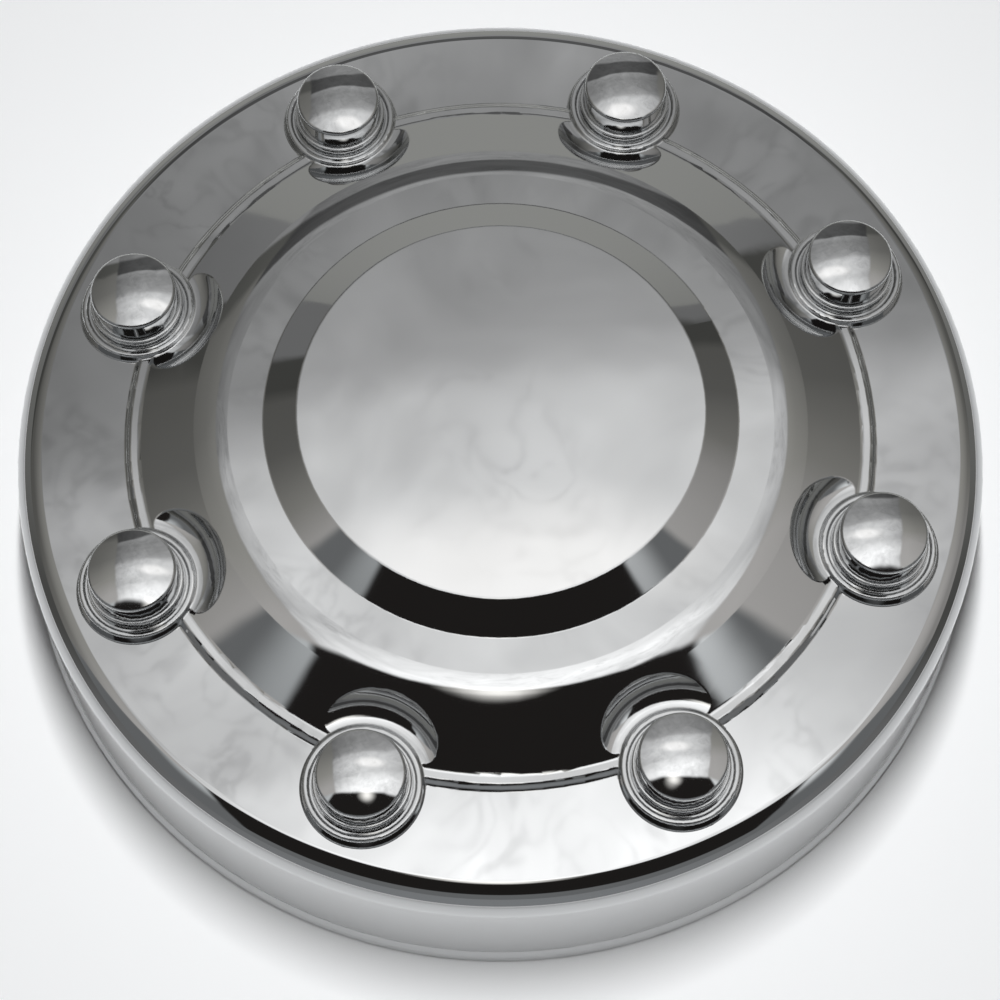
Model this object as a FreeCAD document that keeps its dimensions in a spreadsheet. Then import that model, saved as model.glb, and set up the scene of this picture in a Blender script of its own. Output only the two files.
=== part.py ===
"""Chrome-plated centre cap for an eight-stud light-truck wheel, moulded in one piece.

Millimetres, +Z along the wheel axis towards the viewer, origin at the middle of the skirt's foot.
"""
import FreeCAD, Part
import math
import os
import Sketcher

SIZES = {
    # Stud circle, which everything on the flange follows
    "stud_circle": 165.1,
    "stud_count": 8,
    # Skirt, from the foot that rests on the wheel up to the rim
    "rim_margin": 19.95,
    "rim_round": 6.5,
    "skirt_draft": 1.5,
    "lip_width": 0.8,
    "lip_height": 3.0,
    "lip_blend": 2.2,
    "lip_round": 0.9,
    # Flange and the narrow raised land at its inner edge
    "land_height": 41.0,
    "land_width": 2.0,
    "land_round": 2.4,
    "flange_drop": 1.0,
    "flange_fall": 1.3,
    "step_inset": 3.65,
    "step_draft": 0.9,
    "step_round": 0.9,
    # Raised middle: cone, shelf, short wall and flat disc, measured up from the land
    "shelf_radius": 60.6,
    "shelf_rise": 5.8,
    "shelf_round": 24.0,
    "wall_foot_radius": 49.5,
    "wall_foot_rise": 6.4,
    "wall_foot_round": 0.8,
    "disc_radius": 42.3,
    "disc_rise": 9.7,
    "disc_round": 1.0,
    # Moulded wall
    "skin": 2.5,
    "overcut": 1.0,
    # Nut covers, from the dome outwards, with heights measured up from the land
    "dome_radius": 9.0,
    "dome_edge_rise": 8.3,
    "dome_height": 1.5,
    "dome_round": 0.8,
    "neck_draft": 0.3,
    "collar_width": 0.8,
    "collar_draft": 0.25,
    "collar_rise": 3.0,
    "collar_round": 0.4,
    "moat_width": 0.45,
    "moat_draft": 0.25,
    "moat_rise": 0.35,
    "moat_round": 0.35,
    "ring_width": 1.1,
    "ring_draft": 0.7,
    "ring_rise": 0.9,
    "ring_round": 0.6,
    "ring_blend": 0.5,
    "cover_root": 2.2,
    # Hollow-curved scallop cut into the cone around each cover
    "pocket_margin": 0.7,
    "pocket_floor_rise": 0.25,
    "pocket_wall_slope": 78.0,
    "pocket_reach": 9.0,
    "pocket_round": 6.4,
    "pocket_edge_round": 0.7,
    # Sockets behind the covers that push over the wheel nuts
    "cover_skin": 2.0,
    "socket_bore_radius": 12.9,
    "socket_skin": 2.0,
    "socket_mouth_height": 20.0,
    "socket_lead": 1.0,
}

# Radii about the wheel axis
RIM = "stud_circle / 2 + rim_margin"
FOOT = f"{RIM} + skirt_draft"
LIP = f"{FOOT} + lip_width"
STEP = "stud_circle / 2 - step_inset"
LAND_OUTSIDE = f"{STEP} - step_draft"
LAND_INSIDE = f"{LAND_OUTSIDE} - land_width"

# Radii about a stud's axis
NECK = "dome_radius + neck_draft"
COLLAR = f"{NECK} + collar_width"
MOAT = f"{COLLAR} + moat_width"
RING_INSIDE = f"{MOAT} + moat_draft"
RING_OUTSIDE = f"{RING_INSIDE} + ring_width"
RING_FOOT = f"{RING_OUTSIDE} + ring_draft"
SCALLOP = f"{RING_OUTSIDE} + pocket_margin"
POCKET = f"{SCALLOP} + pocket_round * tan(pocket_wall_slope * 0.5 deg)"

# Heights
FLANGE = "land_height - flange_drop"
FLANGE_EDGE = f"{FLANGE} - flange_fall"
POCKET_FLOOR = "land_height + pocket_floor_rise"
POCKET_TOP = f"{POCKET_FLOOR} + pocket_reach"

# Distance under which two measures count as the same, and one for curves worked out by the modeller
TOUCH = 1e-4
NEAR = 1e-2

doc = FreeCAD.newDocument("CenterCap")
sheet = doc.addObject("Spreadsheet::Sheet", "Sizes")
for row, (alias, value) in enumerate(SIZES.items(), start=1):
    sheet.set(f"A{row}", alias)
    sheet.set(f"B{row}", str(value))
    sheet.setAlias(f"B{row}", alias)
doc.recompute()


def size(text):
    """Value of an expression written with the sheet's names."""
    return float(sheet.evalExpression(bound(text)))


def bound(text):
    """The same expression with each name pointing into the sheet."""
    words = []
    word = ""
    for letter in text + " ":
        if letter.isalnum() or letter in "_.":
            word += letter
            continue
        words.append(f"Sizes.{word}" if word in SIZES else word)
        words.append(letter)
        word = ""
    return "".join(words).strip()


def fix(sketch, kind, refs, text):
    """One driving dimension of a sketch, tied to the sheet."""
    value = size(text)
    if kind == "Radius":
        index = sketch.addConstraint(Sketcher.Constraint(kind, *refs, value))
    elif value >= 0:
        index = sketch.addConstraint(Sketcher.Constraint(kind, -1, 1, *refs, value))
    else:
        index = sketch.addConstraint(Sketcher.Constraint(kind, *refs, -1, 1, -value))
        text = f"-({text})"
    sketch.setExpression(f"Constraints[{index}]", bound(text))


def plane(body, role):
    """One of the body's own origin planes or axes."""
    return next(item for item in body.Origin.OriginFeatures if item.Role == role)


def new_sketch(body, name):
    """Sketch on the body's upright XZ plane: across is the radius, up is the height."""
    sketch = body.newObject("Sketcher::SketchObject", name)
    sketch.AttachmentSupport = [(plane(body, "XZ_Plane"), "")]
    sketch.MapMode = "FlatFace"
    return sketch


def corner_cut(before, here, after, radius):
    """Where a fillet of that radius starts and ends on two lines, and its middle."""
    one = (before - here).normalize()
    two = (after - here).normalize()
    half = one.getAngle(two) / 2
    reach = radius / math.tan(half)
    middle = here + (one + two).normalize() * (radius / math.sin(half))
    return here + one * reach, here + two * reach, middle


def draw_profile(sketch, corners, dome=None):
    """Closed outline through corners (across, up, fillet); the span after corner `dome` is an arc."""
    points = [FreeCAD.Vector(size(across), size(up), 0) for across, up, _ in corners]
    count = len(points)
    starts = list(points)
    ends = list(points)
    middles = [None] * count
    for i, (_, _, fillet) in enumerate(corners):
        if fillet:
            cut = corner_cut(points[i - 1], points[i], points[(i + 1) % count], size(fillet))
            ends[i], starts[i], middles[i] = cut
    spans = []
    for i in range(count):
        first, last = starts[i], ends[(i + 1) % count]
        if i == dome:
            spans.append(draw_dome(sketch, first, last))
        else:
            spans.append((sketch.addGeometry(Part.LineSegment(first, last)), 1, 2))
    for i, (across, up, fillet) in enumerate(corners):
        before, after = spans[i - 1], spans[i]
        if fillet:
            round_corner(sketch, before, after, ends[i], starts[i], middles[i], fillet)
            place = (join_corner(sketch, before, after, points[i]), 1)
        else:
            sketch.addConstraint(Sketcher.Constraint("Coincident", before[0], before[2], after[0], after[1]))
            place = (after[0], after[1])
        fix(sketch, "DistanceX", place, across)
        fix(sketch, "DistanceY", place, up)


def draw_dome(sketch, edge, top):
    """Arc from a dome's edge up to its top, with its middle straight below the top."""
    across = edge.x - top.x
    rise = top.y - edge.y
    radius = (across ** 2 + rise ** 2) / (2 * rise)
    middle = FreeCAD.Vector(top.x, top.y - radius, 0)
    circle = Part.Circle(middle, FreeCAD.Vector(0, 0, 1), radius)
    start = math.atan2(edge.y - middle.y, edge.x - middle.x)
    arc = sketch.addGeometry(Part.ArcOfCircle(circle, start, math.pi / 2))
    sketch.addConstraint(Sketcher.Constraint("Vertical", arc, 3, arc, 2))
    return arc, 1, 2


def round_corner(sketch, before, after, end, start, middle, fillet):
    """Arc that runs smoothly from one span into the next."""
    turn = (end - middle).cross(start - middle).z
    circle = Part.Circle(middle, FreeCAD.Vector(0, 0, 1), (end - middle).Length)
    angles = [math.atan2(point.y - middle.y, point.x - middle.x) for point in (end, start)]
    if turn < 0:
        angles.reverse()
    arc = sketch.addGeometry(Part.ArcOfCircle(circle, *angles))
    near, far = (1, 2) if turn > 0 else (2, 1)
    sketch.addConstraint(Sketcher.Constraint("Tangent", before[0], before[2], arc, near))
    sketch.addConstraint(Sketcher.Constraint("Tangent", arc, far, after[0], after[1]))
    fix(sketch, "Radius", (arc,), fillet)


def join_corner(sketch, before, after, point):
    """Point where the two spans beside a fillet would meet."""
    mark = sketch.addGeometry(Part.Point(point), True)
    sketch.addConstraint(Sketcher.Constraint("PointOnObject", mark, 1, before[0]))
    sketch.addConstraint(Sketcher.Constraint("PointOnObject", mark, 1, after[0]))
    return mark


def turned_body(name, corners):
    """Body turned about the wheel axis."""
    body = doc.addObject("PartDesign::Body", name)
    sketch = new_sketch(body, name + "Outline")
    draw_profile(sketch, corners)
    turn = body.newObject("PartDesign::Revolution", name + "Turn")
    turn.Profile = sketch
    turn.ReferenceAxis = (sketch, ["V_Axis"])
    turn.Angle = 360
    doc.recompute()
    return body


def stud_bodies(name, corners, dome=None, rounded=None):
    """Body turned about a stud's axis and repeated around the stud circle."""
    body = doc.addObject("PartDesign::Body", name)
    body.AllowCompound = True
    sketch = new_sketch(body, name + "Outline")
    placed = [(f"stud_circle / 2 + {across}", up, fillet) for across, up, fillet in corners]
    foot = FreeCAD.Vector(size("stud_circle / 2"), 0, 0)
    axis = sketch.addGeometry(Part.LineSegment(foot, foot + FreeCAD.Vector(0, size("land_height"), 0)), True)
    sketch.addConstraint(Sketcher.Constraint("Vertical", axis))
    sketch.addConstraint(Sketcher.Constraint("PointOnObject", axis, 1, -1))
    fix(sketch, "DistanceX", (axis, 1), "stud_circle / 2")
    fix(sketch, "DistanceY", (axis, 2), "land_height")
    draw_profile(sketch, placed, dome)
    turn = body.newObject("PartDesign::Revolution", name + "Turn")
    turn.Profile = sketch
    turn.ReferenceAxis = (sketch, ["Axis0"])
    turn.Angle = 360
    doc.recompute()
    if rounded:
        fillet = body.newObject("PartDesign::Fillet", name + "Round")
        fillet.Base = (turn, rim_edges(turn.Shape, rounded[0], rounded[1]))
        fillet.setExpression("Radius", bound(rounded[2]))
        doc.recompute()
    pattern = body.newObject("PartDesign::PolarPattern", name + "Ring")
    pattern.TransformMode = "Whole shape"
    pattern.Axis = (plane(body, "Z_Axis"), [""])
    pattern.Angle = 360
    pattern.setExpression("Occurrences", bound("stud_count"))
    body.Tip = pattern
    doc.recompute()
    return body


def rim_edges(shape, radius, height):
    """Names of the round edges with that radius and height."""
    names = []
    for number, edge in enumerate(shape.Edges, start=1):
        if edge.Degenerated or not isinstance(edge.Curve, Part.Circle):
            continue
        right_radius = abs(edge.Curve.Radius - size(radius)) < TOUCH
        if right_radius and abs(edge.Curve.Center.z - size(height)) < TOUCH:
            names.append(f"Edge{number}")
    return names


def stud_reach(point):
    """How far a point is from the nearest stud's axis."""
    turn = 2 * math.pi / size("stud_count")
    nearest = round(math.atan2(point.y, point.x) / turn) * turn
    stud = FreeCAD.Vector(math.cos(nearest), math.sin(nearest), 0) * size("stud_circle / 2")
    return math.hypot(point.x - stud.x, point.y - stud.y)


def on_scallop(point):
    """Whether a point lies on the hollow curve of a scallop, clear of its floor."""
    middle_height = size(POCKET_FLOOR) + size("pocket_round")
    from_middle = math.hypot(stud_reach(point) - size(SCALLOP), point.z - middle_height)
    clear = size(POCKET_FLOOR) + TOUCH < point.z < middle_height
    return clear and abs(from_middle - size("pocket_round")) < NEAR


def on_ring_foot(point):
    """Whether a point lies on the outer slope of a bead ring, no higher than the scallop's floor."""
    drop = size("land_height + ring_rise") - point.z
    slope = size("ring_draft / (ring_rise + cover_root)")
    from_slope = stud_reach(point) - size(RING_OUTSIDE) - drop * slope
    return point.z < size(POCKET_FLOOR) + TOUCH and abs(from_slope) < NEAR


def edges_on(shape, belongs):
    """Numbers of the edges that lie wholly where the test says."""
    numbers = []
    for number, edge in enumerate(shape.Edges, start=1):
        if not edge.Degenerated and all(belongs(point) for point in edge.discretize(7)[1:-1]):
            numbers.append(number)
    return numbers


def soften(name, base, belongs, radius):
    """The same object with those edges rounded."""
    item = doc.addObject("Part::Fillet", name)
    item.Base = base
    item.Edges = [(number, size(radius), size(radius)) for number in edges_on(base.Shape, belongs)]
    doc.recompute()
    return item


def boolean(kind, name, base, tool):
    """Fuse, cut or common part of two objects."""
    item = doc.addObject(kind, name)
    item.Base = base
    item.Tool = tool
    doc.recompute()
    return item


# Outer form, filled down to the skirt's foot
outer_form = turned_body("OuterForm", [
    ("0", "0", None),
    (LIP, "0", None),
    (LIP, "lip_height", "lip_round"),
    (FOOT, "lip_height + lip_blend", "lip_round"),
    (RIM, FLANGE_EDGE, "rim_round"),
    (STEP, FLANGE, "step_round"),
    (LAND_OUTSIDE, "land_height", "step_round"),
    (LAND_INSIDE, "land_height", "land_round"),
    ("shelf_radius", "land_height + shelf_rise", "shelf_round"),
    ("wall_foot_radius", "land_height + wall_foot_rise", "wall_foot_round"),
    ("disc_radius", "land_height + disc_rise", "disc_round"),
    ("0", "land_height + disc_rise", None),
])

# Hollow behind the skin, open at the foot
core_form = turned_body("CoreForm", [
    ("0", "-overcut", None),
    (f"{FOOT} - skin", "-overcut", None),
    (f"{FOOT} - skin", "lip_height + lip_blend", None),
    (f"{RIM} - skin", f"{FLANGE_EDGE} - skin", "rim_round - skin"),
    (LAND_OUTSIDE, f"{FLANGE} - skin", None),
    (LAND_INSIDE, "land_height - skin", None),
    ("shelf_radius", "land_height + shelf_rise - skin", "shelf_round - skin"),
    ("wall_foot_radius", "land_height + wall_foot_rise - skin", None),
    ("disc_radius", "land_height + disc_rise - skin", None),
    ("0", "land_height + disc_rise - skin", None),
])

# Scallops in the cone and the skin that stays behind them
POCKET_SPREAD = "tan(pocket_wall_slope * 1 deg)"
CUP = f"{POCKET} + skin * tan(pocket_wall_slope * 0.5 deg)"
pocket_form = stud_bodies("PocketForm", [
    ("0", POCKET_FLOOR, None),
    (POCKET, POCKET_FLOOR, "pocket_round"),
    (f"{POCKET} + pocket_reach / {POCKET_SPREAD}", POCKET_TOP, None),
    ("0", POCKET_TOP, None),
])
cup_form = stud_bodies("CupForm", [
    ("0", f"{POCKET_FLOOR} - skin", None),
    (CUP, f"{POCKET_FLOOR} - skin", "pocket_round + skin"),
    (f"{CUP} + (pocket_reach + skin) / {POCKET_SPREAD}", POCKET_TOP, None),
    ("0", POCKET_TOP, None),
])

# Nut covers: bead ring, moat, collar, neck and shallow dome
cover_form = stud_bodies("CoverForm", [
    ("0", "land_height - cover_root", None),
    (RING_FOOT, "land_height - cover_root", None),
    (RING_OUTSIDE, "land_height + ring_rise", "ring_round"),
    (RING_INSIDE, "land_height + ring_rise", "moat_round"),
    (MOAT, "land_height + moat_rise", None),
    (COLLAR, "land_height + moat_rise", None),
    (f"{COLLAR} - collar_draft", "land_height + collar_rise", "collar_round"),
    (NECK, "land_height + collar_rise", None),
    ("dome_radius", "land_height + dome_edge_rise", None),
    ("0", "land_height + dome_edge_rise + dome_height", None),
], dome=8, rounded=("dome_radius", "land_height + dome_edge_rise", "dome_round"))

# Sockets behind the covers and the hollow that runs up into each cover
socket_form = stud_bodies("SocketForm", [
    ("0", "socket_mouth_height", None),
    ("socket_bore_radius + socket_skin", "socket_mouth_height", None),
    ("socket_bore_radius + socket_skin", "land_height", None),
    ("0", "land_height", None),
])
bore_form = stud_bodies("BoreForm", [
    ("0", "socket_mouth_height - overcut", None),
    ("socket_bore_radius + socket_lead", "socket_mouth_height - overcut", None),
    ("socket_bore_radius + socket_lead", "socket_mouth_height", None),
    ("socket_bore_radius", "socket_mouth_height + socket_lead", None),
    ("socket_bore_radius", f"{FLANGE_EDGE} - skin", None),
    ("dome_radius - cover_skin", f"{FLANGE_EDGE} - skin", None),
    ("dome_radius - cover_skin", "land_height + dome_edge_rise - cover_skin", None),
    ("0", "land_height + dome_edge_rise + dome_height - cover_skin", None),
], dome=6)

scalloped = boolean("Part::Cut", "Scalloped", outer_form, pocket_form)
softened = soften("Softened", scalloped, on_scallop, "pocket_edge_round")
covered = boolean("Part::Fuse", "Covered", softened, cover_form)
blended = soften("Blended", covered, on_ring_foot, "ring_blend")
hollow = boolean("Part::Cut", "Hollow", core_form, cup_form)
shell = boolean("Part::Cut", "Shell", blended, hollow)
trimmed_sockets = boolean("Part::Common", "TrimmedSockets", softened, socket_form)
socketed = boolean("Part::Fuse", "Socketed", shell, trimmed_sockets)
cap = boolean("Part::Cut", "CapSolid", socketed, bore_form)
cap.Label = "center_cap"
doc.recompute()

for item in doc.Objects:
    if "Invalid" in item.State or "Error" in item.State:
        raise RuntimeError(f"{item.Label} failed: {item.State}")
if cap.Shape.isNull() or not cap.Shape.isValid() or len(cap.Shape.Solids) != 1:
    raise RuntimeError("the cap is not one valid solid")

os.makedirs("parts", exist_ok=True)
cap.Shape.exportStep(f"parts/{cap.Label}.step")
print(cap.Label, "volume", round(cap.Shape.Volume))
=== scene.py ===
"""Looks of the chrome centre cap: polished plating, a pale floor and a soft studio around it."""
import math

import bpy
from mathutils import Euler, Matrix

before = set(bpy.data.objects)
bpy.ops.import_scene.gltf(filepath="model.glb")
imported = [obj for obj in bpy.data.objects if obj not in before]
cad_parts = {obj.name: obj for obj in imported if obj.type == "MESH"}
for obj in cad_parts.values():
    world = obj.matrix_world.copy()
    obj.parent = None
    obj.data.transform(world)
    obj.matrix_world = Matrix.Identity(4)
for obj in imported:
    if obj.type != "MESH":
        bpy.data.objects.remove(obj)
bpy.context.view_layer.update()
scene = bpy.context.scene
scene.view_settings.view_transform = "Standard"

# Camera fitted to the photograph's circles: metres and degrees, and millimetres for lens and sensor
CAMERA_PLACE = (-0.0895, -0.18304, 0.49693)
CAMERA_TURN = (22.269, -0.175, -25.62)
CAMERA_LENS = 85.375
SENSOR = 36.0
# The studio faces the photographer, who stands this far round from the cap's -Y side, towards -X
STUDIO_TURN = math.radians(25.73)
UPWARD = (0.0, 0.0, 1.0)

# Plating: colour, haze in patches, slight moulding waves and softened edges
CHROME_COLOUR = (0.55, 0.556, 0.56, 1.0)
HAZE_SCALE = 45.0
HAZE_ROUGHNESS = 0.6
HAZE_RANGE = (0.35, 0.75)
ROUGHNESS_RANGE = (0.03, 0.06)
WAVE_SCALE = 60.0
WAVE_DETAIL = 1.0
WAVE_STRENGTH = 0.02
WAVE_HEIGHT = 0.002
EDGE_SOFTENING = 0.00025
BEVEL_SAMPLES = 3

# Section of the cap from the flange's inner step over the rounded rim to the skirt's foot
STEP_RADIUS = 0.0789
STEP_HEIGHT = 0.04
RIM_RADIUS = 0.1025
RIM_HEIGHT = 0.0387
RIM_ROUND = 0.0065
SKIRT_FOOT_RADIUS = 0.104
SKIRT_FOOT_HEIGHT = 0.0052
# How far the even slope keeps from the step, and how near a point lies to count as flange or rounding
STEP_CLEAR = 0.0011
FLANGE_MARGIN = 0.00004
RIM_MARGIN = 0.0001
# Worked out from the section: slopes, where the flange runs into the rounding, the rounding's middle and foot
FLANGE_FALL = (STEP_HEIGHT - RIM_HEIGHT) / (RIM_RADIUS - STEP_RADIUS)
FLANGE_ANGLE = math.atan(FLANGE_FALL)
SKIRT_ANGLE = math.atan((SKIRT_FOOT_RADIUS - RIM_RADIUS) / (RIM_HEIGHT - SKIRT_FOOT_HEIGHT))
ROUND_REACH = RIM_ROUND * math.tan((math.pi / 2 - FLANGE_ANGLE - SKIRT_ANGLE) / 2)
FLANGE_START = STEP_RADIUS + STEP_CLEAR
FLANGE_END = RIM_RADIUS - ROUND_REACH * math.cos(FLANGE_ANGLE)
FLANGE_HEIGHT = STEP_HEIGHT + STEP_RADIUS * FLANGE_FALL
ROUND_MIDDLE_RADIUS = FLANGE_END - RIM_ROUND * math.sin(FLANGE_ANGLE)
ROUND_MIDDLE_HEIGHT = FLANGE_HEIGHT - FLANGE_END * FLANGE_FALL - RIM_ROUND * math.cos(FLANGE_ANGLE)
ROUND_FOOT = ROUND_MIDDLE_HEIGHT + RIM_ROUND * math.sin(SKIRT_ANGLE)

# Floor: paper, and a glow that is faint by the cap and stronger far from it
FLOOR_COLOUR = (0.88, 0.89, 0.9, 1.0)
FLOOR_RADIUS = 3.0
FLOOR_SIDES = 96
FLOOR_DROP = 0.0003
GLOW_COLOUR = (1.0, 1.0, 1.0, 1.0)
FLOOR_GLOW = 0.06
FAR_GLOW = 0.6
FAR_START = 0.3
FAR_END = 0.8

# Strip lamp over the cap
LAMP_PLACE = (0.0, 0.0, 0.62)
LAMP_WIDTH = 0.02
LAMP_LENGTH = 0.3
LAMP_POWER = 3.9

# Overhead cloth, in metres from the cap's axis; back is away from the photographer
CLOTH_HEIGHT = 0.5
CLOTH_REACH = 1.0
CLOTH_BACK = 0.9
CLOTH_STRENGTH = 2.0
CLOTH_SLANT = -0.2
SWAY_SCALE = 5.0
SWAY_MIDDLE = (0.5, 0.5, 0.5)
SWAY_REACH = 0.03
EDGE_SOFT = 0.012
# Bright card in the middle of the cloth: its size, and its brightness from front to back
CARD_MIDDLE = 0.01
CARD_FRONT = -0.1
CARD_HALF = 0.25
CARD_FLARE = 0.15
CARD_SIDE_FADE = 0.45
CARD_STOPS = [
    (0.0, 0.84), (0.06, 0.92), (0.1, 0.75), (0.14, 0.58), (0.23, 0.59), (0.27, 0.54),
    (0.295, 0.49), (0.31, 0.42), (0.33, 0.31), (0.36, 0.26), (0.5, 0.2), (0.56, 0.25),
    (0.585, 0.25), (0.605, 0.07), (0.84, 0.07), (0.88, 0.2),
]
# Clouds on the card and creases in patches
CLOUD_SCALE = 11.0
CLOUD_DETAIL = 3.0
CLOUD_DISTORTION = 1.6
CLOUD_RANGE = (0.3, 0.7)
CLOUD_SHARE = (0.86, 1.12)
CREASE_SCALE = 24.0
CREASE_DETAIL = 3.0
CREASE_DISTORTION = 1.8
CREASE_MIDDLE = 0.5
CREASE_WIDTH = 0.05
CREASE_DEPTH = 0.2
PATCH_SCALE = 9.0
PATCH_RANGE = (0.45, 0.6)
# Brighter folds on the card: middle, weight of each direction, where they start and are full, colour
FOLDS = [
    ((0.015, 0.12, 0.0), (0.4, 1.0, 0.0), 0.055, 0.02, (0.25, 0.24, 0.23)),
    ((0.0, -0.12, 0.0), (0.8, 1.0, 0.0), 0.06, 0.0, (0.9, 0.88, 0.84)),
]
NO_FOLD = (0.0, 0.0, 0.0)
# Greyer panels beside the card, from front to back and outwards
PANEL_STOPS = [
    (0.0, (0.33, 0.32, 0.31)), (0.1, (0.31, 0.3, 0.29)), (0.2, (0.22, 0.215, 0.2)),
    (0.4, (0.13, 0.128, 0.12)), (0.62, (0.12, 0.118, 0.11)), (0.68, (0.07, 0.07, 0.065)),
    (0.84, (0.07, 0.07, 0.065)), (0.88, 0.2),
]
PANEL_RANGE = (0.3, 0.65)
PANEL_SHARE = (1.0, 0.55)
# Dark gap in front of the card, the grey around it and the paler corners at its back
GAP_FLARE = 0.62
GAP_LENGTH = 0.45
GAP_END = 0.5
GAP_DARK = (0.01, 0.009, 0.0085)
FRONT_GREY = (0.1, 0.103, 0.105)
CORNER_LEFT = (0.38, 0.395, 0.4)
CORNER_RIGHT = (0.55, 0.565, 0.57)
CORNER_ASIDE = 0.12
CORNER_AHEAD = 0.2

# Room walls by direction, from the front past the sides to the back
WALL_STOPS = [
    (0.0, (0.3, 0.31, 0.32)), (0.3, (0.2, 0.2, 0.2)), (0.5, (0.1, 0.1, 0.095)), (0.7, (0.2, 0.2, 0.19)),
    (1.0, (0.42, 0.42, 0.4)),
]
WALL_STRENGTH = 1.0


def shader_tree(owner):
    """Emptied node tree of a material or world, with a short way to add and join nodes."""
    owner.use_nodes = True
    tree = owner.node_tree
    tree.nodes.clear()

    def add(kind, inputs=None, **settings):
        node = tree.nodes.new("ShaderNode" + kind)
        for name, value in settings.items():
            setattr(node, name, value)
        for name, value in (inputs or {}).items():
            if isinstance(value, bpy.types.NodeSocket):
                tree.links.new(value, node.inputs[name])
            else:
                node.inputs[name].default_value = value
        return node

    return add


def maths(add, operation, *values):
    """One arithmetic step on numbers or sockets."""
    return add("Math", dict(enumerate(values)), operation=operation).outputs[0]


def vectors(add, operation, *values):
    """One step on vectors."""
    return add("VectorMath", dict(enumerate(values)), operation=operation).outputs["Vector"]


def length(add, vector):
    """Length of a vector."""
    return add("VectorMath", {0: vector}, operation="LENGTH").outputs["Value"]


def scaled(add, vector, factor):
    """Vector or colour made larger or smaller by a number or socket."""
    return add("VectorMath", {0: vector, "Scale": factor}, operation="SCALE").outputs["Vector"]


def step(add, value, low, high, kind="SMOOTHSTEP"):
    """0 at low rising to 1 at high, either way round."""
    flip = low > high
    node = add("MapRange", {"Value": value, "From Min": min(low, high), "From Max": max(low, high),
                            "To Min": float(flip), "To Max": float(not flip)}, interpolation_type=kind)
    return node.outputs["Result"]


def between(add, value, source, target):
    """Value moved evenly from one range to another."""
    node = add("MapRange", {"Value": value, "From Min": source[0], "From Max": source[1],
                            "To Min": target[0], "To Max": target[1]})
    return node.outputs["Result"]


def noise(add, place, scale, detail=2.0, roughness=0.5, distortion=0.0):
    """Cloudy noise, as a node with a grey and a coloured output."""
    return add("TexNoise", {"Vector": place, "Scale": scale, "Detail": detail, "Roughness": roughness,
                            "Distortion": distortion})


def opaque(colour):
    """A grey number or three-part colour with full cover."""
    return (*colour, 1.0) if isinstance(colour, tuple) else (colour, colour, colour, 1.0)


def mixed(add, factor, first, second):
    """Colour between two colours or sockets."""
    ends = [opaque(end) if isinstance(end, tuple) else end for end in (first, second)]
    return add("MixRGB", {"Fac": factor, "Color1": ends[0], "Color2": ends[1]}).outputs["Color"]


def ramp(add, factor, stops, interpolation="LINEAR"):
    """Colour ramp through (place, grey or colour) stops."""
    node = add("ValToRGB", {"Fac": factor})
    node.color_ramp.interpolation = interpolation
    elements = node.color_ramp.elements
    while len(elements) < len(stops):
        elements.new(1.0)
    for element, (place, colour) in zip(elements, stops):
        element.position = place
        element.color = opaque(colour)
    return node.outputs["Color"]


def even_rim(add, place, normal):
    """The surface's normal, with the true slope all over the flange and the rounded rim."""
    axes = add("SeparateXYZ", {"Vector": place})
    height = axes.outputs["Z"]
    flat = add("CombineXYZ", {"X": axes.outputs["X"], "Y": axes.outputs["Y"]}).outputs["Vector"]
    radius = length(add, flat)
    outward = vectors(add, "NORMALIZE", flat)

    # Flange: one slope everywhere
    level = maths(add, "MULTIPLY_ADD", radius, -FLANGE_FALL, FLANGE_HEIGHT)
    on_level = maths(add, "COMPARE", height, level, FLANGE_MARGIN)
    outside = maths(add, "GREATER_THAN", radius, FLANGE_START)
    beyond = maths(add, "GREATER_THAN", radius, FLANGE_END)
    on_flange = maths(add, "MULTIPLY", on_level, maths(add, "SUBTRACT", outside, beyond))
    leaning = vectors(add, "ADD", scaled(add, outward, FLANGE_FALL), UPWARD)
    even = mixed(add, on_flange, normal, vectors(add, "NORMALIZE", leaning))

    # Rounded rim: straight away from the circle in the middle of its section
    middle = vectors(add, "ADD", scaled(add, outward, ROUND_MIDDLE_RADIUS), (0.0, 0.0, ROUND_MIDDLE_HEIGHT))
    spoke = vectors(add, "SUBTRACT", place, middle)
    on_round = maths(add, "COMPARE", length(add, spoke), RIM_ROUND, RIM_MARGIN)
    above_foot = maths(add, "GREATER_THAN", height, ROUND_FOOT)
    on_round = maths(add, "MULTIPLY", on_round, maths(add, "MULTIPLY", beyond, above_foot))
    return mixed(add, on_round, even, vectors(add, "NORMALIZE", spoke))


def chrome():
    """Polished plating: clear reflections, faint haze in patches and very slight moulding waves."""
    material = bpy.data.materials.new("chrome_plating")
    add = shader_tree(material)
    place = add("TexCoord").outputs["Object"]
    haze = noise(add, place, HAZE_SCALE, roughness=HAZE_ROUGHNESS).outputs["Fac"]
    waves = noise(add, place, WAVE_SCALE, WAVE_DETAIL).outputs["Fac"]
    soft = add("Bevel", {"Radius": EDGE_SOFTENING}, samples=BEVEL_SAMPLES).outputs["Normal"]
    bump = add("Bump", {
        "Height": waves,
        "Strength": WAVE_STRENGTH,
        "Distance": WAVE_HEIGHT,
        "Normal": even_rim(add, place, soft),
    })
    surface = add("BsdfPrincipled", {
        "Base Color": CHROME_COLOUR,
        "Metallic": 1.0,
        "Roughness": between(add, haze, HAZE_RANGE, ROUGHNESS_RANGE),
        "Normal": bump.outputs["Normal"],
    })
    add("OutputMaterial", {"Surface": surface.outputs["BSDF"]})
    return material


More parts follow.
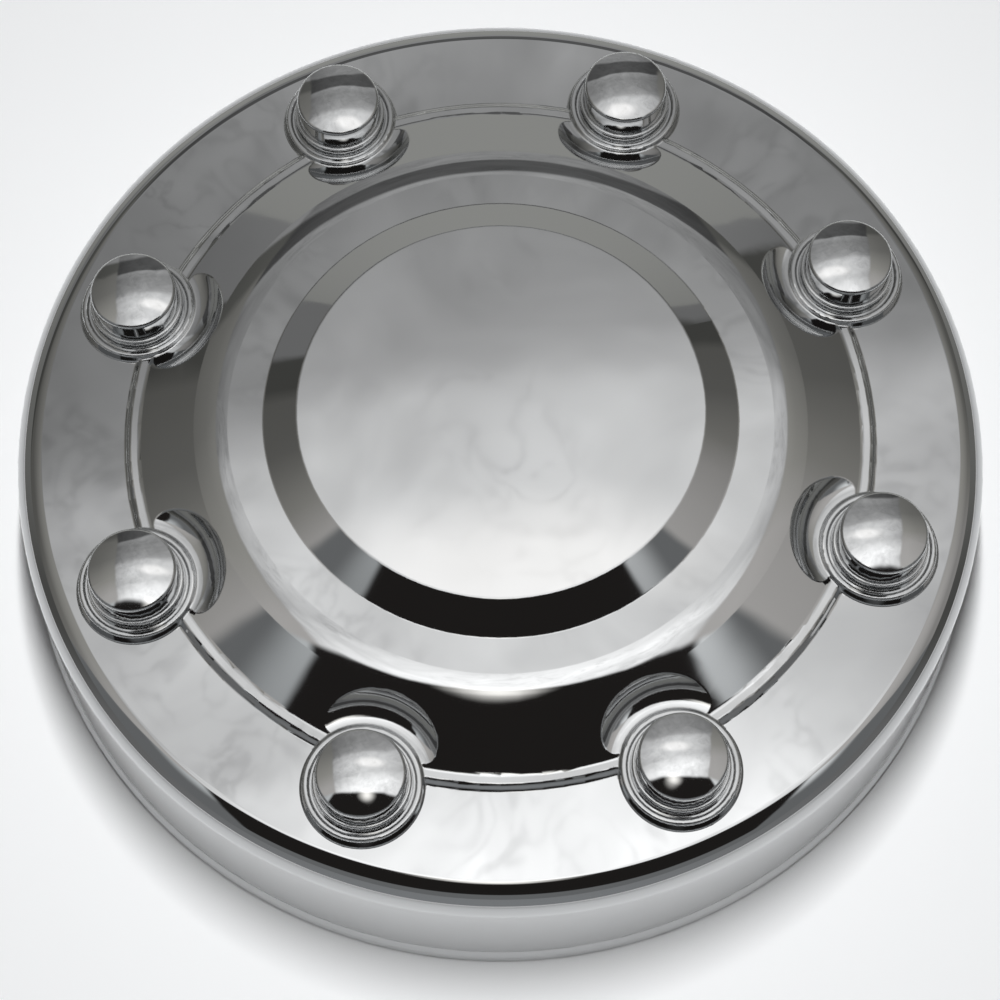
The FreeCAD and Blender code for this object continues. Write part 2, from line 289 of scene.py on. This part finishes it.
def pale_floor():
    """White paper that stays pale in the picture, keeps a soft shadow and hides nothing from below."""
    material = bpy.data.materials.new("pale_floor")
    add = shader_tree(material)
    rays = add("LightPath")
    seen = maths(add, "MAXIMUM", rays.outputs["Is Camera Ray"], rays.outputs["Is Glossy Ray"])
    seen = maths(add, "MAXIMUM", seen, rays.outputs["Is Transmission Ray"])
    far = step(add, length(add, add("TexCoord").outputs["Object"]), FAR_START, FAR_END)
    level = maths(add, "MULTIPLY_ADD", far, FAR_GLOW, FLOOR_GLOW)
    glow = add("Emission", {"Color": GLOW_COLOUR, "Strength": maths(add, "MULTIPLY", seen, level)})
    paper = add("BsdfDiffuse", {"Color": FLOOR_COLOUR})
    both = add("AddShader", {0: paper.outputs[0], 1: glow.outputs[0]})
    below = add("NewGeometry").outputs["Backfacing"]
    sheet = add("MixShader", {0: below, 1: both.outputs[0], 2: add("BsdfTransparent").outputs[0]})
    add("OutputMaterial", {"Surface": sheet.outputs[0]})
    return material


def card_texture(add, flat):
    """Brightness of the card's clouds and creases."""
    clouds = noise(add, flat, CLOUD_SCALE, CLOUD_DETAIL, distortion=CLOUD_DISTORTION).outputs["Fac"]
    lines = noise(add, flat, CREASE_SCALE, CREASE_DETAIL, distortion=CREASE_DISTORTION).outputs["Fac"]
    from_line = maths(add, "ABSOLUTE", maths(add, "SUBTRACT", lines, CREASE_MIDDLE))
    crease = step(add, from_line, CREASE_WIDTH, 0.0)
    patches = step(add, noise(add, flat, PATCH_SCALE).outputs["Fac"], *PATCH_RANGE)
    creases = maths(add, "MULTIPLY_ADD", maths(add, "MULTIPLY", crease, patches), -CREASE_DEPTH, 1.0)
    return maths(add, "MULTIPLY", between(add, clouds, CLOUD_RANGE, CLOUD_SHARE), creases)


def cloth():
    """Glow of the overhead tent: bright card, greyer panels and the dark gap the camera looks through."""
    material = bpy.data.materials.new("tent_cloth")
    add = shader_tree(material)
    flat = add("TexCoord").outputs["Object"]
    sway = vectors(add, "SUBTRACT", noise(add, flat, SWAY_SCALE).outputs["Color"], SWAY_MIDDLE)
    place = vectors(add, "ADD", flat, scaled(add, sway, SWAY_REACH))
    axes = add("SeparateXYZ", {"Vector": place})
    across = axes.outputs["X"]
    away = axes.outputs["Y"]
    aside = maths(add, "ABSOLUTE", maths(add, "SUBTRACT", across, CARD_MIDDLE))
    along = step(add, maths(add, "MULTIPLY_ADD", across, CLOTH_SLANT, away), CARD_FRONT, CLOTH_BACK, "LINEAR")

    # Bright card in the middle, fading backwards and to its sides
    card_half = maths(add, "MULTIPLY_ADD", away, CARD_FLARE, CARD_HALF)
    share = maths(add, "DIVIDE", aside, card_half)
    fade = maths(add, "MULTIPLY_ADD", maths(add, "MULTIPLY", share, share), -CARD_SIDE_FADE, 1.0)
    card = scaled(add, ramp(add, along, CARD_STOPS), maths(add, "MULTIPLY", fade, card_texture(add, flat)))

    # Greyer panels beside it
    panel = scaled(add, ramp(add, along, PANEL_STOPS), between(add, aside, PANEL_RANGE, PANEL_SHARE))
    inside = step(add, maths(add, "SUBTRACT", aside, card_half), EDGE_SOFT, -EDGE_SOFT)
    overhead = mixed(add, inside, panel, card)

    # Grey front panels around the dark gap, palest at the gap's back corners
    ahead = maths(add, "SUBTRACT", CARD_FRONT, away)
    beside_gap = maths(add, "SUBTRACT", aside, maths(add, "MULTIPLY_ADD", ahead, GAP_FLARE, CARD_HALF))
    near_gap = step(add, beside_gap, CORNER_ASIDE, 0.0)
    corner = maths(add, "MULTIPLY", near_gap, step(add, ahead, CORNER_AHEAD, 0.0))
    pale = mixed(add, step(add, across, -CARD_HALF, CARD_HALF), CORNER_LEFT, CORNER_RIGHT)
    front = mixed(add, corner, FRONT_GREY, pale)
    gap_sides = step(add, beside_gap, EDGE_SOFT, -EDGE_SOFT)
    in_gap = maths(add, "MULTIPLY", gap_sides, step(add, ahead, GAP_END, GAP_LENGTH))
    in_front = step(add, ahead, -EDGE_SOFT, EDGE_SOFT)
    whole = mixed(add, in_front, overhead, mixed(add, in_gap, front, GAP_DARK))

    # Brighter folds
    for middle, shape, start, full, colour in FOLDS:
        offset = vectors(add, "MULTIPLY", vectors(add, "SUBTRACT", place, middle), shape)
        fold = mixed(add, step(add, length(add, offset), start, full), NO_FOLD, colour)
        whole = vectors(add, "ADD", whole, fold)
    glow = add("Emission", {"Color": whole, "Strength": CLOTH_STRENGTH})
    add("OutputMaterial", {"Surface": glow.outputs[0]})
    return material


def hang_cloth():
    """Overhead cloth, square to the photographer, seen in the plating only."""
    bpy.ops.mesh.primitive_plane_add(size=2 * CLOTH_REACH, location=(0, 0, CLOTH_HEIGHT))
    sheet = bpy.context.object
    sheet.name = "tent_cloth"
    sheet.rotation_euler = (0, 0, -STUDIO_TURN)
    sheet.visible_camera = False
    sheet.visible_diffuse = False
    sheet.visible_shadow = False
    sheet.data.materials.append(cloth())


def hang_lamp():
    """Strip lamp over the cap that lights the floor and leaves no mirror image of its own."""
    data = bpy.data.lights.new("top_lamp", "AREA")
    data.shape = "RECTANGLE"
    data.size = LAMP_WIDTH
    data.size_y = LAMP_LENGTH
    data.energy = LAMP_POWER
    lamp = bpy.data.objects.new("top_lamp", data)
    lamp.location = LAMP_PLACE
    lamp.rotation_euler = (0, 0, -STUDIO_TURN)
    lamp.visible_glossy = False
    lamp.visible_camera = False
    scene.collection.objects.link(lamp)


def studio():
    """Walls of the room by direction: grey behind, darker beside, blue-grey in front."""
    world = bpy.data.worlds.new("studio")
    add = shader_tree(world)
    around = add("VectorRotate", {"Vector": add("TexCoord").outputs["Generated"], "Angle": STUDIO_TURN},
                 rotation_type="Z_AXIS")
    axes = add("SeparateXYZ", {"Vector": around.outputs["Vector"]})
    walls = ramp(add, step(add, axes.outputs["Y"], -1.0, 1.0, "LINEAR"), WALL_STOPS, "EASE")
    sky = add("Background", {"Color": walls, "Strength": WALL_STRENGTH})
    add("OutputWorld", {"Surface": sky.outputs[0]})
    scene.world = world
    world.cycles_visibility.diffuse = False


def place_camera():
    """Camera at the photograph's viewing point."""
    data = bpy.data.cameras.new("photo_camera")
    data.sensor_width = SENSOR
    data.lens = CAMERA_LENS
    camera = bpy.data.objects.new("photo_camera", data)
    camera.location = CAMERA_PLACE
    camera.rotation_euler = Euler([math.radians(angle) for angle in CAMERA_TURN])
    scene.collection.objects.link(camera)
    scene.camera = camera


def lay_floor():
    """Plain floor under the skirt's foot."""
    bpy.ops.mesh.primitive_circle_add(vertices=FLOOR_SIDES, radius=FLOOR_RADIUS, fill_type="NGON",
                                      location=(0, 0, -FLOOR_DROP))
    floor = bpy.context.object
    floor.name = "floor"
    floor.data.materials.append(pale_floor())


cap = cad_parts["center_cap"]
cap.data.materials.clear()
cap.data.materials.append(chrome())
lay_floor()
hang_cloth()
hang_lamp()
studio()
place_camera()
